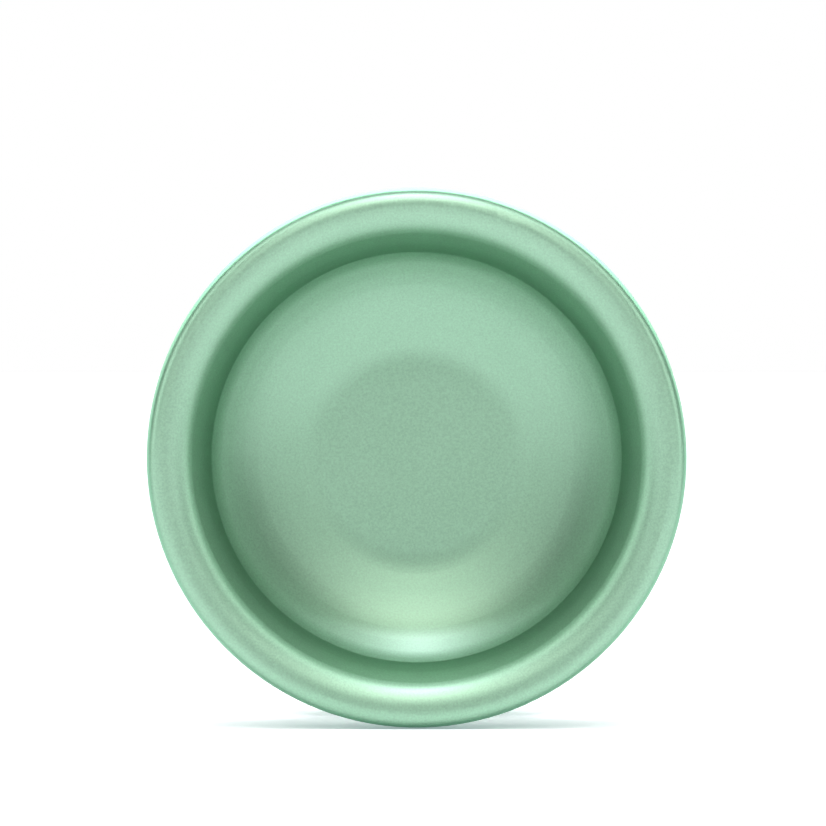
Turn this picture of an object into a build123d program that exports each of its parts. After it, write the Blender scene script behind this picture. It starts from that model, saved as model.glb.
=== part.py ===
from build123d import *
import math
import os

# An unresponsive yo-yo: two turned aluminium halves on a threaded axle, with a ball bearing between them.
#
# Millimetres. The axle lies along Y, +Z is up, and the origin is the centre of the bearing. The front half
# faces -Y. The yo-yo stands on its two rims. Every outline is drawn in the XY plane, where X is the distance
# from the axle and Y the distance from the middle of the string gap, and is then revolved about Y.

# ---- driving dimensions -----------------------------------------------------------------------------------
rim_radius = 28.0  # largest radius: a 56 mm yo-yo
half_width = 21.5  # middle of the gap to the face of a rim: 43 mm wide
gap_half = 2.2  # middle of the gap to the wall beside the bearing: a 4.4 mm string gap

# size C ball bearing: 1/4 x 1/2 x 3/16 inch, ten 1/16 inch balls
bearing_bore_radius = 3.175
bearing_outer_radius = 6.35
bearing_width = 4.7625
ball_count = 10
ball_radius = 0.79375
ball_clearance = 0.02  # left all round each ball

axle_radius = 1.95  # M4 headless set screw, over the crests of its thread
axle_length = 10.0
axle_thread_clearance = 0.05

# The cup side of a half. Each step is (distance from the axle, tilt of the surface in degrees). Between two
# steps the surface is one arc that keeps the tilt at both, or a cone where the tilts are equal. It runs from
# the flat middle of the dish out to the face of the rim.
dish_steps = [(10.1, 0), (12.3, 17), (14.5, 19.5), (16.5, 25), (18.0, 33), (19.2, 38.5), (20.3, 43), (20.9, 52)]
wall_steps = [(21.3, 56), (21.4, 80), (22.2, 71), (23.25, 62), (26.1, 0)]
rim_face_outer_radius = 26.3  # the rim's face is a narrow flat ring, on which the yo-yo lies
rim_edge_step = (27.7, -82.5)  # outer edge of the rim, then a flank that flares out

# The string side of a half.
flank_end_radius = 27.8
rim_nose_radius = 1.1  # rounded nose at the largest diameter
catch_slope = 34.0  # the catch zone, a straight V, in degrees from the wall of the gap
catch_inner_radius = 13.4
catch_curve_radius = 4.0
hub_slope = 80.0  # side of the hub, which carries the pad
hub_edge_radius = 0.5

# Seats in the middle of a half.
pad_outer_radius = 9.6
pad_inner_radius = 7.1
pad_thickness = 1.0
pad_clearance = 0.02
pocket_radius = 6.6  # clears the outer race
pocket_depth = 0.45
shoulder_radius = 4.15  # bears on the inner race only
seat_clearance = 0.01
seat_length = 1.9
seat_chamfer = 0.2
hole_depth = 5.4
drill_point_angle = 59.0

# ---- drawing helpers --------------------------------------------------------------------------------------


def heading(degrees):
    """The unit vector that points degrees up from +X."""
    return (math.cos(math.radians(degrees)), math.sin(math.radians(degrees)))


def bend_to(start, from_angle, to_angle, radius):
    """A tangent arc that leaves start at from_angle and turns to to_angle."""
    return JernArc(start, heading(from_angle), radius, to_angle - from_angle)


def run_to_x(start, angle, x):
    """A straight line from start at angle, as far as x."""
    return Line(start, (x, start.Y + (x - start.X) * math.tan(math.radians(angle))))


def bend_to_x(start, from_angle, to_angle, x):
    """A tangent arc that turns to to_angle just as it reaches x, or a line if there is nothing to turn."""
    if from_angle == to_angle:
        return run_to_x(start, to_angle, x)
    turn = math.sin(math.radians(to_angle)) - math.sin(math.radians(from_angle))
    return bend_to(start, from_angle, to_angle, abs((x - start.X) / turn))


def run_to_y(start, angle, y):
    """A straight line from start at angle, as far as y."""
    return Line(start, (start.X + (y - start.Y) / math.tan(math.radians(angle)), y))


def ring(inner, outer, low, high):
    """A plain ring about Y, from y = low to y = high."""
    outline = Polygon((inner, low), (outer, low), (outer, high), (inner, high), align=None)
    return revolve(outline, Axis.Y)


def facing_front(shape):
    """The same piece on the -Y side of the gap."""
    return Rotation(0, 0, 180) * shape


# ---- the halves -------------------------------------------------------------------------------------------


def cup_side(floor):
    """The edges of the cup side, from the middle of a dish whose flat middle lies at y = floor."""
    edges = [Line((0, floor), (dish_steps[0][0], floor))]
    steps = dish_steps + wall_steps
    for (_, tilt), (outer, next_tilt) in zip(steps, steps[1:]):
        edges.append(bend_to_x(edges[-1] @ 1, tilt, next_tilt, outer))
    edges.append(run_to_x(edges[-1] @ 1, 0, rim_face_outer_radius))
    return edges


cup_depth = (cup_side(0)[-1] @ 1).Y
dish_floor = half_width - cup_depth
shoulder_y = bearing_width / 2  # the bearing is held between the two shoulders
pocket_y = shoulder_y + pocket_depth
seat_end_y = shoulder_y - seat_length
seat_radius = bearing_bore_radius - seat_clearance
hole_radius = axle_radius + axle_thread_clearance
groove_y = gap_half + pad_thickness
groove_inner = pad_inner_radius - pad_clearance
groove_outer = pad_outer_radius + pad_clearance


def half_outline():
    """One half, cut through the axle: out along the dish, round the rim and back down the string side."""
    edges = cup_side(dish_floor)

    # the outer edge of the rim
    edge_x, flank_angle = rim_edge_step
    edges.append(bend_to_x(edges[-1] @ 1, 0, flank_angle, edge_x))
    edges.append(run_to_x(edges[-1] @ 1, flank_angle, flank_end_radius))
    edges.append(bend_to_x(edges[-1] @ 1, flank_angle, -90, rim_radius))
    edges.append(bend_to(edges[-1] @ 1, -90, catch_slope - 180, rim_nose_radius))

    # the catch zone and the hub
    edges.append(run_to_x(edges[-1] @ 1, catch_slope, catch_inner_radius))
    edges.append(bend_to(edges[-1] @ 1, catch_slope - 180, hub_slope - 180, catch_curve_radius))
    edge_rise = hub_edge_radius * (1 - math.cos(math.radians(hub_slope)))
    edges.append(run_to_y(edges[-1] @ 1, hub_slope, gap_half + edge_rise))
    edges.append(bend_to(edges[-1] @ 1, hub_slope - 180, -180, hub_edge_radius))

    # pad groove, bearing pocket, shoulder, seat and threaded hole
    drill_tip = hole_depth + hole_radius / math.tan(math.radians(drill_point_angle))
    corners = [
        (groove_outer, gap_half),
        (groove_outer, groove_y),
        (groove_inner, groove_y),
        (groove_inner, gap_half),
        (pocket_radius, gap_half),
        (pocket_radius, pocket_y),
        (shoulder_radius, pocket_y),
        (shoulder_radius, shoulder_y),
        (seat_radius, shoulder_y),
        (seat_radius, seat_end_y + seat_chamfer),
        (seat_radius - seat_chamfer, seat_end_y),
        (hole_radius, seat_end_y),
        (hole_radius, hole_depth),
        (0, drill_tip),
        (0, dish_floor),
    ]
    edges.append(Polyline(edges[-1] @ 1, *corners))
    return make_face(edges)


def yoyo_half():
    return revolve(half_outline(), Axis.Y)


def response_pad():
    """Silicone ring that fills the groove, flush with the wall of the gap."""
    return ring(pad_inner_radius, pad_outer_radius, gap_half, groove_y)


# ---- axle -------------------------------------------------------------------------------------------------
socket_across_flats = 2.0
socket_depth = 2.5
axle_chamfer = 0.4


def axle():
    """Headless set screw. Its thread is a plain cylinder over the crests; the hex socket faces the rear."""
    reach = axle_length / 2
    outline = Polygon(
        (0, -reach),
        (axle_radius - axle_chamfer, -reach),
        (axle_radius, axle_chamfer - reach),
        (axle_radius, reach - axle_chamfer),
        (axle_radius - axle_chamfer, reach),
        (0, reach),
        align=None,
    )
    rear_end = Plane((0, reach - socket_depth, 0), x_dir=(1, 0, 0), z_dir=(0, 1, 0))
    hexagon = rear_end * RegularPolygon(socket_across_flats / 2, 6, major_radius=False)
    return revolve(outline, Axis.Y) - extrude(hexagon, socket_depth)


# ---- ball bearing -----------------------------------------------------------------------------------------
pitch_radius = (bearing_bore_radius + bearing_outer_radius) / 2
inner_land_radius = 4.2  # outside of the inner race
outer_land_radius = 5.32  # inside of the outer race
race_chamfer = 0.25
groove_section_radius = ball_radius + ball_clearance
shield_seat_radius = 5.68
shield_inner_radius = 4.32
shield_thickness = 0.25
shield_clearance = 0.02
shield_inner_y = 1.52
clip_groove_radius = 5.9
clip_inner_radius = 5.25
clip_thickness = 0.3
clip_opening = 40.0  # degrees left open in each snap ring
cage_inner_radius = 4.4
cage_outer_radius = 5.12
cage_low_y = -1.3
cage_high_y = 0.3  # past the middle of the balls, so each pocket snaps round its ball
cage_pocket_clearance = 0.05


def ball_track():
    """The ring that the balls need, taken out of both races."""
    return revolve(Location((pitch_radius, 0, 0)) * Circle(groove_section_radius), Axis.Y)


def inner_race():
    edge = bearing_width / 2
    body = ring(bearing_bore_radius, inner_land_radius, -edge, edge)
    bore_edges = body.edges().filter_by(GeomType.CIRCLE).group_by(SortBy.RADIUS)[0]
    return chamfer(bore_edges, race_chamfer) - ball_track()


def outer_race():
    edge = bearing_width / 2
    body = ring(outer_land_radius, bearing_outer_radius, -edge, edge)
    rims = body.edges().filter_by(GeomType.CIRCLE).group_by(SortBy.RADIUS)[-1]
    body = chamfer(rims, race_chamfer) - ball_track()
    clip_low = shield_inner_y + shield_thickness
    for place in (Location(), Rotation(0, 0, 180)):
        body -= place * ring(outer_land_radius - 1, shield_seat_radius, shield_inner_y, edge + 1)
        body -= place * ring(outer_land_radius - 1, clip_groove_radius, clip_low, clip_low + clip_thickness)
    return body


def shield():
    """Thin steel washer that closes the bearing. It sits in the outer race, clear of the inner one."""
    return ring(
        shield_inner_radius,
        shield_seat_radius - shield_clearance,
        shield_inner_y,
        shield_inner_y + shield_thickness,
    )


def snap_ring():
    """Open wire ring sprung into the outer race over a shield. Its opening is at the bottom."""
    low = shield_inner_y + shield_thickness
    closed = ring(clip_inner_radius, clip_groove_radius - shield_clearance, low, low + clip_thickness)
    reach = 2 * clip_groove_radius
    spread = reach * math.tan(math.radians(clip_opening / 2))
    section = Plane((0, low, 0), x_dir=(1, 0, 0), z_dir=(0, 1, 0))
    wedge = section * Polygon((0, 0), (-spread, reach), (spread, reach), align=None)
    return closed - extrude(wedge, clip_thickness)


def ball_places():
    """Where each ball is: evenly round the pitch circle, with the first one at the top."""
    for number in range(ball_count):
        angle = math.radians(90 - 360 / ball_count * number)
        yield Location((pitch_radius * math.cos(angle), 0, pitch_radius * math.sin(angle)))


def cage():
    """One-piece crown retainer. Its fingers reach round each ball from the front."""
    body = ring(cage_inner_radius, cage_outer_radius, cage_low_y, cage_high_y)
    for place in ball_places():
        body -= place * Sphere(ball_radius + cage_pocket_clearance)
    return body


# ---- the assembly -----------------------------------------------------------------------------------------
half = yoyo_half()
pad = response_pad()
nodes = {
    "rear_half": half,
    "front_half": facing_front(half),
    "rear_response_pad": pad,
    "front_response_pad": facing_front(pad),
    "axle": axle(),
    "bearing_inner_race": inner_race(),
    "bearing_outer_race": outer_race(),
    "bearing_cage": cage(),
    "rear_shield": shield(),
    "front_shield": facing_front(shield()),
    "rear_snap_ring": snap_ring(),
    "front_snap_ring": facing_front(snap_ring()),
}
for number, place in enumerate(ball_places(), 1):
    nodes[f"bearing_ball_{number:02d}"] = place * Sphere(ball_radius)

os.makedirs("parts", exist_ok=True)
for name, shape in nodes.items():
    export_step(shape, f"parts/{name}.step")

grams = 2.7e-3 * half.volume
print(f"dish floor at y = {dish_floor:.2f}, cup {cup_depth:.2f} deep, one half {grams:.1f} g")
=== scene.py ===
import math

import bmesh
import bpy
from mathutils import Matrix, Vector


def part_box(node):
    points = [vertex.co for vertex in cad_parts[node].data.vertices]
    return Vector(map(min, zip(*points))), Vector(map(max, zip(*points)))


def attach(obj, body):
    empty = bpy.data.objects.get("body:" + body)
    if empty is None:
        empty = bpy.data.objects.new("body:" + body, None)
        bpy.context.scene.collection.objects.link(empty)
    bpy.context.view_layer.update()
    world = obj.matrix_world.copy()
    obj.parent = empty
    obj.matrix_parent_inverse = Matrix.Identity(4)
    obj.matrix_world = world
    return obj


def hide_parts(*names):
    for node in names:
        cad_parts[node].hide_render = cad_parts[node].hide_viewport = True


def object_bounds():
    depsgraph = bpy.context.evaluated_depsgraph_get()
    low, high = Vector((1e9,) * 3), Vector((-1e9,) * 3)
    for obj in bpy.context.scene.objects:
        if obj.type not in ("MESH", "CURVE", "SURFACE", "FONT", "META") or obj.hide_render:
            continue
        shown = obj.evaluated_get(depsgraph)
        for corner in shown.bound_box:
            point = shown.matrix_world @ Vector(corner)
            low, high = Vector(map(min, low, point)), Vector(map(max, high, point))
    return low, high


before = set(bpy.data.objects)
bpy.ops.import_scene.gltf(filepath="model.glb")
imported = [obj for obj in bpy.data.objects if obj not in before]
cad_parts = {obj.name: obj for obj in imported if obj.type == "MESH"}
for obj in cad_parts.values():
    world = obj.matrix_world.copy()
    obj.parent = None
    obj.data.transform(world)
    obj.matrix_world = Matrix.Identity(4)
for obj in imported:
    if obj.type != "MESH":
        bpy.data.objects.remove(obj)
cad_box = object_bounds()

# ---- The halves -------------------------------------------------------------------------------------------
# Each half is turned from one bar of aluminium, blasted with fine glass beads and dyed a pale green in the
# anodising bath. Blasting leaves a soft even sheen with a fine grain, and no turning marks.
MM = 0.001


def linear(hex_colour):
    """An sRGB hex colour as the linear RGBA that a shader socket takes."""
    channels = [int(hex_colour[i:i + 2], 16) / 255 for i in (1, 3, 5)]
    return tuple(c / 12.92 if c <= 0.04045 else ((c + 0.055) / 1.055) ** 2.4 for c in channels) + (1.0,)


def new_material(name, metallic, roughness):
    """A node material, with the values of its shader that are the same all over the surface."""
    material = bpy.data.materials.new(name)
    material.use_nodes = True
    shader = material.node_tree.nodes["Principled BSDF"]
    shader.inputs["Metallic"].default_value = metallic
    shader.inputs["Roughness"].default_value = roughness
    return material, shader


def add_node(owner, kind, settings=None, inputs=None, links=None):
    """Adds a shader node to a material, or to the world. settings are its properties, inputs its constant
    sockets and links its joined ones."""
    node = owner.node_tree.nodes.new(kind)
    for name, value in (settings or {}).items():
        setattr(node, name, value)
    for name, value in (inputs or {}).items():
        node.inputs[name].default_value = value
    for name, source in (links or {}).items():
        owner.node_tree.links.new(source, node.inputs[name])
    return node


def connect(material, shader, **sources):
    """Joins node outputs to the shader's sockets, which are named with underscores for spaces."""
    for name, source in sources.items():
        material.node_tree.links.new(source, shader.inputs[name.replace("_", " ")])


def bead_blasted_anodised_aluminium():
    """A metal with a wide soft highlight. The dents of the beads show as a fine grain, and the dye takes a
    little unevenly, so the green drifts very slightly over each half. Light that glances off has passed
    through more of the dye, so it is a deeper green. A thin clear skin of sealed oxide lies over the dye."""
    material, shader = new_material("bead_blasted_anodised_aluminium", metallic=1.0, roughness=0.50)
    shader.distribution = "GGX"
    shader.inputs["Specular Tint"].default_value = (0.20, 0.60, 0.38, 1.0)
    shader.inputs["Coat Weight"].default_value = 0.35
    shader.inputs["Coat Roughness"].default_value = 0.35
    dent_width = 0.20 * MM  # the beads' dents are 0.05 mm across, drawn four times as wide so that they show
    drift_width = 9 * MM
    place = add_node(material, "ShaderNodeTexCoord").outputs["Object"]
    dents = add_node(material, "ShaderNodeTexNoise", links={"Vector": place},
                     inputs={"Scale": 1 / dent_width, "Detail": 2.0, "Roughness": 0.6})
    drift = add_node(material, "ShaderNodeTexNoise", links={"Vector": place},
                     inputs={"Scale": 1 / drift_width, "Detail": 1.0})
    dye = add_node(material, "ShaderNodeMix", settings={"data_type": "RGBA"},
                   inputs={"A": linear("#9BC3A8"), "B": linear("#A1C8AE")},
                   links={"Factor": drift.outputs["Fac"]})
    speckle = add_node(material, "ShaderNodeMapRange", links={"Value": dents.outputs["Fac"]},
                       inputs={"From Min": 0.25, "From Max": 0.75, "To Min": 0.89, "To Max": 1.11})
    speckled_dye = add_node(material, "ShaderNodeVectorMath", settings={"operation": "SCALE"},
                            links={0: dye.outputs["Result"], "Scale": speckle.outputs["Result"]})
    sheen = add_node(material, "ShaderNodeMapRange", links={"Value": dents.outputs["Fac"]},
                     inputs={"From Min": 0.25, "From Max": 0.75, "To Min": 0.47, "To Max": 0.53})
    relief = add_node(material, "ShaderNodeBump", inputs={"Strength": 0.3, "Distance": 0.01 * MM},
                      links={"Height": dents.outputs["Fac"]})
    connect(material, shader, Base_Color=speckled_dye.outputs["Vector"], Roughness=sheen.outputs["Result"],
            Normal=relief.outputs["Normal"])
    return material


def give_material(material, *names):
    """Gives CAD nodes one material."""
    for name in names:
        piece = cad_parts[name]
        piece.data.materials.clear()
        piece.data.materials.append(material)


give_material(bead_blasted_anodised_aluminium(), "front_half", "rear_half")

# ---- The axle ---------------------------------------------------------------------------------------------
# A headless M4 set screw with a rolled thread, in stainless steel, 10 mm long. The front half is screwed on
# tight against the bearing; the rear half unscrews from it. A 2 mm hex key fits the socket in the rear end.
thread_pitch = 0.7 * MM
crest_radius = 1.95 * MM
root_radius = crest_radius - 0.6134 * thread_pitch  # standard depth of a metric thread
crest_width = thread_pitch / 8
root_width = thread_pitch / 4
thread_steps = 40
end_chamfer = 0.4 * MM
socket_across_flats = 2.0 * MM
socket_depth = 2.5 * MM


def turned_coordinates(material):
    """Distance from the axle and place along it, so that a pattern lies in rings as turning leaves it."""
    place = add_node(material, "ShaderNodeTexCoord").outputs["Object"]
    along = add_node(material, "ShaderNodeSeparateXYZ", links={"Vector": place})
    across = add_node(material, "ShaderNodeVectorMath", settings={"operation": "MULTIPLY"},
                      inputs={1: (1.0, 0.0, 1.0)}, links={0: place})
    radius = add_node(material, "ShaderNodeVectorMath", settings={"operation": "LENGTH"},
                      links={0: across.outputs["Vector"]})
    rings = add_node(material, "ShaderNodeCombineXYZ",
                     links={"X": radius.outputs["Value"], "Y": along.outputs["Y"]})
    return radius.outputs["Value"], rings.outputs["Vector"]


def ringed_steel(name, dark, light, line_width, roughness, relief_height):
    """Steel with fine lines round the axle, from grinding, drawing or rolling: each line is a little lighter
    or darker, smoother or rougher than the next, which draws the highlights out across the rings."""
    material, shader = new_material(name, metallic=1.0, roughness=roughness)
    radius, rings = turned_coordinates(material)
    lines = add_node(material, "ShaderNodeTexNoise", links={"Vector": rings},
                     inputs={"Scale": 1 / line_width, "Detail": 3.0, "Roughness": 0.65})
    tone = add_node(material, "ShaderNodeMix", settings={"data_type": "RGBA"},
                    inputs={"A": linear(dark), "B": linear(light)}, links={"Factor": lines.outputs["Fac"]})
    sheen = add_node(material, "ShaderNodeMapRange", links={"Value": lines.outputs["Fac"]},
                     inputs={"From Min": 0.3, "From Max": 0.7,
                             "To Min": roughness * 0.75, "To Max": roughness * 1.25})
    relief = add_node(material, "ShaderNodeBump", inputs={"Strength": 0.4, "Distance": relief_height},
                      links={"Height": lines.outputs["Fac"]})
    connect(material, shader, Base_Color=tone.outputs["Result"], Roughness=sheen.outputs["Result"],
            Normal=relief.outputs["Normal"])
    return material, shader, tone, radius


def rolled_stainless_steel():
    """The colour of the thread is drawn much darker towards its roots than at its crests."""
    material, shader, tone, radius = ringed_steel("rolled_stainless_steel", "#B4B4B6", "#C8C8CA",
                                                  0.06 * MM, 0.28, 0.004 * MM)
    depth = add_node(material, "ShaderNodeMapRange", links={"Value": radius},
                     inputs={"From Min": root_radius, "From Max": crest_radius})
    # the thread's colour is made darker towards its roots, by distance from the axle
    root_darkened_tone = add_node(material, "ShaderNodeMix", settings={"data_type": "RGBA"},
                    inputs={"A": linear("#77766F")},
                    links={"Factor": depth.outputs["Result"], "B": tone.outputs["Result"]})
    connect(material, shader, Base_Color=root_darkened_tone.outputs["Result"])
    return material


def finish_piece(bm, name, material, body, replaced, sharp_angle=35):
    """Turns a bmesh into a piece that rides on a body and stands for a CAD node. Edges that bend by more
    than the sharp angle stay crisp."""
    bmesh.ops.remove_doubles(bm, verts=bm.verts, dist=0.0005 * MM)
    bmesh.ops.recalc_face_normals(bm, faces=bm.faces)
    for face in bm.faces:
        face.smooth = True
    for edge in bm.edges:
        edge.smooth = edge.calc_face_angle(0) < math.radians(sharp_angle)
    mesh = bpy.data.meshes.new(name)
    bm.to_mesh(mesh)
    bm.free()
    mesh.materials.append(material)
    piece = bpy.data.objects.new(name, mesh)
    bpy.context.scene.collection.objects.link(piece)
    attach(piece, body)
    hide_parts(replaced)


def set_screw():
    """One pitch of the thread is swept round and along the axle, cut off at both ends, chamfered and
    closed, with a hex socket sunk in the rear end."""
    low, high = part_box("axle")
    flank = (thread_pitch - crest_width - root_width) / 2
    bm = bmesh.new()
    start = low.y - 2 * thread_pitch
    corners = [(root_radius, 0), (root_radius, root_width), (crest_radius, root_width + flank),
               (crest_radius, root_width + flank + crest_width), (root_radius, thread_pitch)]
    verts = [bm.verts.new((x, start + y, 0)) for x, y in corners]
    edges = [bm.edges.new(pair) for pair in zip(verts, verts[1:])]
    turns = math.ceil((high.y - low.y) / thread_pitch) + 3
    bmesh.ops.spin(bm, geom=verts + edges, cent=(0, 0, 0), axis=(0, 1, 0), angle=2 * math.pi * turns,
                   dvec=(0, thread_pitch / thread_steps, 0), steps=thread_steps * turns)
    bmesh.ops.remove_doubles(bm, verts=bm.verts, dist=0.0005 * MM)

    # cut to length, then turn the chamfers, which cut the thread down towards each end
    for y, side in ((low.y, -1), (high.y, 1)):
        for inset in (end_chamfer, 0):
            bmesh.ops.bisect_plane(bm, geom=bm.verts[:] + bm.edges[:] + bm.faces[:], dist=1e-8,
                                   plane_co=(0, y - side * inset, 0), plane_no=(0, side, 0),
                                   clear_outer=inset == 0)
    for vert in bm.verts:
        from_end = min(vert.co.y - low.y, high.y - vert.co.y)
        limit = crest_radius - end_chamfer + from_end
        radius = math.hypot(vert.co.x, vert.co.z)
        if radius > limit:
            vert.co.x *= limit / radius
            vert.co.z *= limit / radius

    # close both ends, the rear one round the socket
    def end_loop(y):
        return [edge for edge in bm.edges if edge.is_boundary
                and all(abs(vert.co.y - y) < 0.01 * MM for vert in edge.verts)]

    bmesh.ops.contextual_create(bm, geom=end_loop(low.y))
    turned = Matrix.Translation((0, high.y, 0)) @ Matrix.Rotation(math.radians(-90), 4, "X")
    socket = bmesh.ops.create_circle(bm, cap_ends=False, segments=6, matrix=turned,
                                     radius=socket_across_flats / 2 / math.cos(math.radians(30)))
    socket_edges = list({edge for vert in socket["verts"] for edge in vert.link_edges})
    rim_edges = [edge for edge in end_loop(high.y) if edge not in socket_edges]
    bmesh.ops.bridge_loops(bm, edges=rim_edges + socket_edges)
    sunk = bmesh.ops.extrude_edge_only(bm, edges=socket_edges)["geom"]
    sunk_verts = [part for part in sunk if isinstance(part, bmesh.types.BMVert)]
    bmesh.ops.translate(bm, verts=sunk_verts, vec=(0, -socket_depth, 0))
    bmesh.ops.contextual_create(bm, geom=[part for part in sunk if isinstance(part, bmesh.types.BMEdge)])
    return bm


finish_piece(set_screw(), "threaded_axle", rolled_stainless_steel(), "front", "axle")

# ---- The races --------------------------------------------------------------------------------------------
# The two races of a size C ball bearing are hardened bearing steel, ground all over: fine bright rings. The
# inner race is clamped between the halves' shoulders, and the outer race, on which the string runs, is free.
give_material(ringed_steel("ground_bearing_steel", "#CFCFD1", "#DCDCDD", 0.05 * MM, 0.2, 0.003 * MM)[0],
              "bearing_inner_race", "bearing_outer_race")

# ---- The balls --------------------------------------------------------------------------------------------
# Ten 1/16 inch balls of the same steel, lapped to a mirror between the races. Only the thinnest film of oil
# dulls them, in soft patches.


def lapped_bearing_steel():
    """Mirror-bright steel with a film of oil that is thicker in some patches than others."""
    material, shader = new_material("lapped_bearing_steel", metallic=1.0, roughness=0.06)
    film_width = 0.6 * MM
    place = add_node(material, "ShaderNodeTexCoord").outputs["Object"]
    film = add_node(material, "ShaderNodeTexNoise", links={"Vector": place},
                    inputs={"Scale": 1 / film_width, "Detail": 2.0})
    tone = add_node(material, "ShaderNodeMix", settings={"data_type": "RGBA"},
                    inputs={"A": linear("#D6D6D8"), "B": linear("#E0E0E0")},
                    links={"Factor": film.outputs["Fac"]})
    sheen = add_node(material, "ShaderNodeMapRange", links={"Value": film.outputs["Fac"]},
                     inputs={"To Min": 0.04, "To Max": 0.10})
    connect(material, shader, Base_Color=tone.outputs["Result"], Roughness=sheen.outputs["Result"])
    return material


balls = sorted(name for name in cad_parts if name.startswith("bearing_ball_"))
give_material(lapped_bearing_steel(), *balls)

# ---- The cage ---------------------------------------------------------------------------------------------
# A crown moulded in one piece from uncoloured nylon. Its fingers snap over the balls from the front and keep
# them evenly apart.


def moulded_nylon():
    """Creamy and slightly waxy: light goes a little way in, and the mould's fine spark texture shows."""
    material, shader = new_material("moulded_natural_nylon", metallic=0.0, roughness=0.42)
    shader.inputs["IOR"].default_value = 1.53
    shader.inputs["Subsurface Weight"].default_value = 0.25
    shader.inputs["Subsurface Radius"].default_value = (0.6, 0.5, 0.35)
    shader.inputs["Subsurface Scale"].default_value = 1 * MM
    texture_width = 0.08 * MM
    cloud_width = 1.2 * MM
    place = add_node(material, "ShaderNodeTexCoord").outputs["Object"]
    texture = add_node(material, "ShaderNodeTexNoise", links={"Vector": place},
                       inputs={"Scale": 1 / texture_width, "Detail": 2.0})
    clouds = add_node(material, "ShaderNodeTexNoise", links={"Vector": place},
                      inputs={"Scale": 1 / cloud_width, "Detail": 1.0})
    tone = add_node(material, "ShaderNodeMix", settings={"data_type": "RGBA"},
                    inputs={"A": linear("#E2DCCB"), "B": linear("#ECE7D9")},
                    links={"Factor": clouds.outputs["Fac"]})
    relief = add_node(material, "ShaderNodeBump", inputs={"Strength": 0.3, "Distance": 0.006 * MM},
                      links={"Height": texture.outputs["Fac"]})
    connect(material, shader, Base_Color=tone.outputs["Result"], Normal=relief.outputs["Normal"])
    return material


give_material(moulded_nylon(), "bearing_cage")

# ---- The shields ------------------------------------------------------------------------------------------
# Washers pressed from thin bright steel strip, one each side of the balls. The press steps the inner edge in
# by a sheet's quarter, which stiffens it, and the outer edge sits in a groove of the outer race.
shield_inner_radius = 4.32 * MM
shield_sheet = 0.19 * MM
shield_step_start = 4.65 * MM
shield_step_end = 4.75 * MM


def section(corners, rounding):
    """A flat outline of (distance from the axle, place along it), with each corner rounded."""
    bm = bmesh.new()
    verts = [bm.verts.new((x, y, 0)) for x, y in corners]
    bm.faces.new(verts)
    bmesh.ops.bevel(bm, geom=verts, offset=rounding, affect="VERTICES", segments=3, profile=0.5, material=-1)
    return bm


def turned_ring(corners, rounding, steps=96):
    """A whole ring about the axle, with the section that has those corners."""
    bm = section(corners, rounding)
    bmesh.ops.delete(bm, geom=bm.faces[:], context="FACES_ONLY")
    bmesh.ops.spin(bm, geom=bm.verts[:] + bm.edges[:], cent=(0, 0, 0), axis=(0, 1, 0),
                   angle=2 * math.pi, steps=steps, use_merge=True)
    return bm


pressed_steel = ringed_steel("pressed_bright_steel", "#C4C4C6", "#D0D0D1", 0.09 * MM, 0.27, 0.003 * MM)[0]
for end in ("front", "rear"):
    low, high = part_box(f"{end}_shield")
    face, back = (low.y, high.y) if end == "front" else (high.y, low.y)
    inward = math.copysign(1, back - face)
    shield_outer_radius = high.x
    step_height = abs(back - face) - shield_sheet
    outer_back, inner_face = back - inward * step_height, face + inward * step_height
    shield = turned_ring([(shield_inner_radius, inner_face), (shield_inner_radius, back),
                          (shield_step_start, back), (shield_step_end, outer_back),
                          (shield_outer_radius, outer_back), (shield_outer_radius, face),
                          (shield_step_end, face), (shield_step_start, inner_face)], 0.03 * MM)
    finish_piece(shield, f"{end}_pressed_shield", pressed_steel, "bearing_outer",
                 f"{end}_shield")

# ---- The snap rings ---------------------------------------------------------------------------------------
# Open rings of flattened spring-steel wire, sprung into the outer race over each shield. Drawing the wire
# leaves fine lines along it. The opening, at the bottom, is where a pick lifts the ring out.
wire_inner_radius = 5.25 * MM
wire_rounding = 0.08 * MM
ring_opening = 40.0


def open_ring(corners, rounding, opening, steps=96):
    """A ring about the axle with an opening, in degrees, at the bottom. Its two ends are closed."""
    bm = section(corners, rounding)
    bottom = 90.0
    start = Matrix.Rotation(math.radians(bottom + opening / 2), 3, "Y")
    bmesh.ops.rotate(bm, verts=bm.verts, cent=(0, 0, 0), matrix=start)
    bmesh.ops.spin(bm, geom=bm.verts[:] + bm.edges[:] + bm.faces[:], cent=(0, 0, 0), axis=(0, 1, 0),
                   angle=math.radians(360 - opening), steps=steps)
    return bm


spring_wire = ringed_steel("drawn_spring_steel", "#B4B3B1", "#C2C1BF", 0.05 * MM, 0.33, 0.004 * MM)[0]
for end in ("front", "rear"):
    low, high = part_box(f"{end}_snap_ring")
    wire_outer_radius = high.x
    wire = open_ring([(wire_inner_radius, low.y), (wire_outer_radius, low.y),
                      (wire_outer_radius, high.y), (wire_inner_radius, high.y)], wire_rounding, ring_opening)
    finish_piece(wire, f"{end}_spring_wire", spring_wire, "bearing_outer",
                 f"{end}_snap_ring")

# ---- The response pads ------------------------------------------------------------------------------------
# Rings of soft silicone rubber, cast flat and glued into a groove beside the bearing, flush with the wall of
# the gap. They grip the string when the thrower tugs it.
pad_inner_radius = 7.1 * MM
pad_rounding = 0.12 * MM


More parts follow.
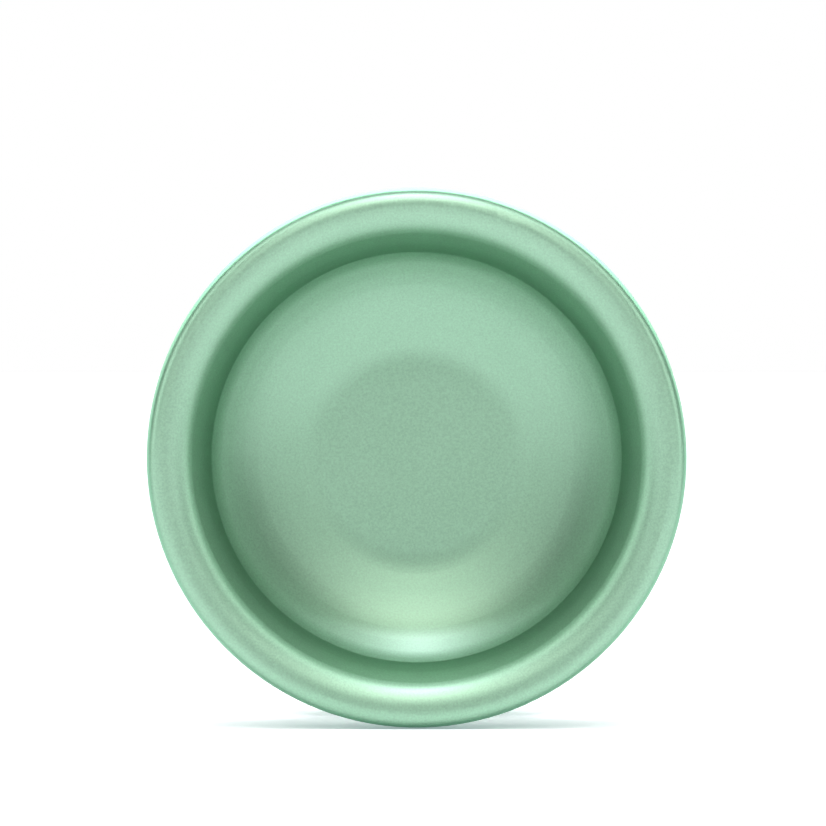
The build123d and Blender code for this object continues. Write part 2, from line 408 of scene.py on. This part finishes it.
def cast_silicone():
    """Milky and matt. Light goes well into it, the surface has the mould's fine satin, and the string has
    burnished a band round the middle of the ring."""
    material, shader = new_material("cast_silicone_rubber", metallic=0.0, roughness=0.55)
    shader.inputs["IOR"].default_value = 1.41
    shader.inputs["Subsurface Weight"].default_value = 0.5
    shader.inputs["Subsurface Radius"].default_value = (1.0, 0.9, 0.8)
    shader.inputs["Subsurface Scale"].default_value = 0.8 * MM
    satin_width = 0.1 * MM
    cloud_width = 2.5 * MM
    radius, rings = turned_coordinates(material)
    place = add_node(material, "ShaderNodeTexCoord").outputs["Object"]
    satin = add_node(material, "ShaderNodeTexNoise", links={"Vector": place},
                     inputs={"Scale": 1 / satin_width, "Detail": 3.0})
    clouds = add_node(material, "ShaderNodeTexNoise", links={"Vector": place},
                      inputs={"Scale": 1 / cloud_width, "Detail": 2.0})
    tone = add_node(material, "ShaderNodeMix", settings={"data_type": "RGBA"},
                    inputs={"A": linear("#E9E8E2"), "B": linear("#F3F2EE")},
                    links={"Factor": clouds.outputs["Fac"]})
    band_middle, band_half = 8.35 * MM, 0.9 * MM
    from_middle = add_node(material, "ShaderNodeMath", settings={"operation": "SUBTRACT"},
                           inputs={1: band_middle}, links={0: radius})
    distance = add_node(material, "ShaderNodeMath", settings={"operation": "ABSOLUTE"},
                        links={0: from_middle.outputs["Value"]})
    burnish = add_node(material, "ShaderNodeMapRange", settings={"interpolation_type": "SMOOTHSTEP"},
                       inputs={"From Min": band_half / 2, "From Max": band_half,
                               "To Min": 0.38, "To Max": 0.58},
                       links={"Value": distance.outputs["Value"]})
    relief = add_node(material, "ShaderNodeBump", inputs={"Strength": 0.35, "Distance": 0.01 * MM},
                      links={"Height": satin.outputs["Fac"]})
    connect(material, shader, Base_Color=tone.outputs["Result"], Roughness=burnish.outputs["Result"],
            Normal=relief.outputs["Normal"])
    return material


silicone = cast_silicone()
for end, body in (("front", "front"), ("rear", "rear_pad")):
    low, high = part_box(f"{end}_response_pad")
    pad_outer_radius = high.x
    pad = turned_ring([(pad_inner_radius, low.y), (pad_outer_radius, low.y),
                       (pad_outer_radius, high.y), (pad_inner_radius, high.y)], pad_rounding, steps=144)
    finish_piece(pad, f"{end}_silicone_pad", silicone, body, f"{end}_response_pad")

# ---- The table, camera and light --------------------------------------------------------------------------
# The yo-yo stands on a matt white table, and the camera looks almost level into the front cup. The picture
# gets a little more contrast than the plain one.
scene = bpy.context.scene
scene.view_settings.view_transform = "Standard"
scene.view_settings.gamma = 0.87

table_width = 8.0
table_height = cad_box[0][2]
bpy.ops.mesh.primitive_plane_add(size=table_width, location=(0, 0, table_height))
table = bpy.context.object
table.name = "floor"
paper, paper_shader = new_material("matt_white_paper", metallic=0.0, roughness=0.7)
paper_shader.inputs["Base Color"].default_value = linear("#F1F1F1")
# a faint cool glow, which keeps the two contact shadows light
paper_shader.inputs["Emission Color"].default_value = (0.92, 0.97, 1.10, 1.0)
paper_shader.inputs["Emission Strength"].default_value = 0.28
table.data.materials.append(paper)

rim_face_y = cad_box[0][1]
camera_distance = 900 * MM
camera_height = 17 * MM
view_width = 85.2 * MM
aim = Vector((-0.38 * MM, rim_face_y, 4.7 * MM))
camera_data = bpy.data.cameras.new("camera")
camera = bpy.data.objects.new("camera", camera_data)
scene.collection.objects.link(camera)
scene.camera = camera
camera_data.sensor_width = 36
camera_data.lens = camera_data.sensor_width / view_width * camera_distance
camera_data.clip_start = 0.01
camera.location = (aim.x, rim_face_y - camera_distance, camera_height)
camera.rotation_euler = (aim - camera.location).to_track_quat("-Z", "Y").to_euler()

# A white tent, seen in the metal as rings of light round the line of sight: dim beside the camera, where the
# room is dark, bright level with the yo-yo and bright behind it. To the eye the backdrop is plain white.
tent = [(0, 0.0), (18, 0.0), (36, 1.7), (54, 0.0), (70, 0.0),
        (84, 4.2), (100, 0.0), (125, 0.3), (180, 3.4)]  # degrees from the line of sight, brightness
world = bpy.data.worlds.new("studio")
scene.world = world
world.use_nodes = True
direction = add_node(world, "ShaderNodeTexCoord").outputs["Generated"]
facing_camera = add_node(world, "ShaderNodeVectorMath", settings={"operation": "DOT_PRODUCT"},
                         inputs={1: (0.0, -1.0, 0.0)}, links={0: direction})
angle = add_node(world, "ShaderNodeMath", settings={"operation": "ARCCOSINE"},
                 links={0: facing_camera.outputs["Value"]})
half_turns = add_node(world, "ShaderNodeMath", settings={"operation": "DIVIDE"}, inputs={1: math.pi},
                      links={0: angle.outputs["Value"]})
tent_light = add_node(world, "ShaderNodeValToRGB", links={"Fac": half_turns.outputs["Value"]})
stops = tent_light.color_ramp.elements
stops[1].position = 1.0
for degrees, _ in tent[1:-1]:
    stops.new(degrees / 180)
for stop, (_, brightness) in zip(stops, tent):
    stop.color = (brightness, brightness, brightness, 1.0)
seen = add_node(world, "ShaderNodeLightPath")
backdrop = add_node(world, "ShaderNodeMix", settings={"data_type": "RGBA"},
                    inputs={"B": (1.0, 1.0, 1.0, 1.0)},
                    links={"Factor": seen.outputs["Is Camera Ray"], "A": tent_light.outputs["Color"]})
world.node_tree.links.new(backdrop.outputs["Result"], world.node_tree.nodes["Background"].inputs["Color"])


def softbox(name, degrees, lean, width, height, brightness, tint=(1.0, 1.0, 1.0)):
    """A lamp one metre from the yo-yo: degrees up from the line of sight, and leaning that much to the right.
    The brightness is that of each square metre of it, so a small lamp needs a high one."""
    lamp = bpy.data.lights.new(name, "AREA")
    lamp.shape = "RECTANGLE"
    lamp.size, lamp.size_y = width, height
    lamp.energy = brightness * width * height * math.pi
    lamp.color = tint
    box = bpy.data.objects.new(name, lamp)
    up, aside = math.radians(degrees), math.radians(lean)
    box.location = (math.sin(up) * math.sin(aside), -math.cos(up), math.sin(up) * math.cos(aside))
    box.rotation_euler = box.location.to_track_quat("Z", "Y").to_euler()
    scene.collection.objects.link(box)
    return box


warm = (1.14, 1.0, 1.0)
softbox("key_light", 76, -1, 0.025, 0.025, 840, (1.22, 1.0, 1.30))
softbox("front_softbox", 30, 0, 0.45, 0.35, 0.48, warm)
softbox("top_softbox", 52, 0, 0.60, 0.40, 3.8, warm)
back_softbox = softbox("back_softbox", 150, 0, 1.20, 0.50, 4.0)
back_softbox.visible_diffuse = False  # it lights the rims' outer edges, and stays off the table
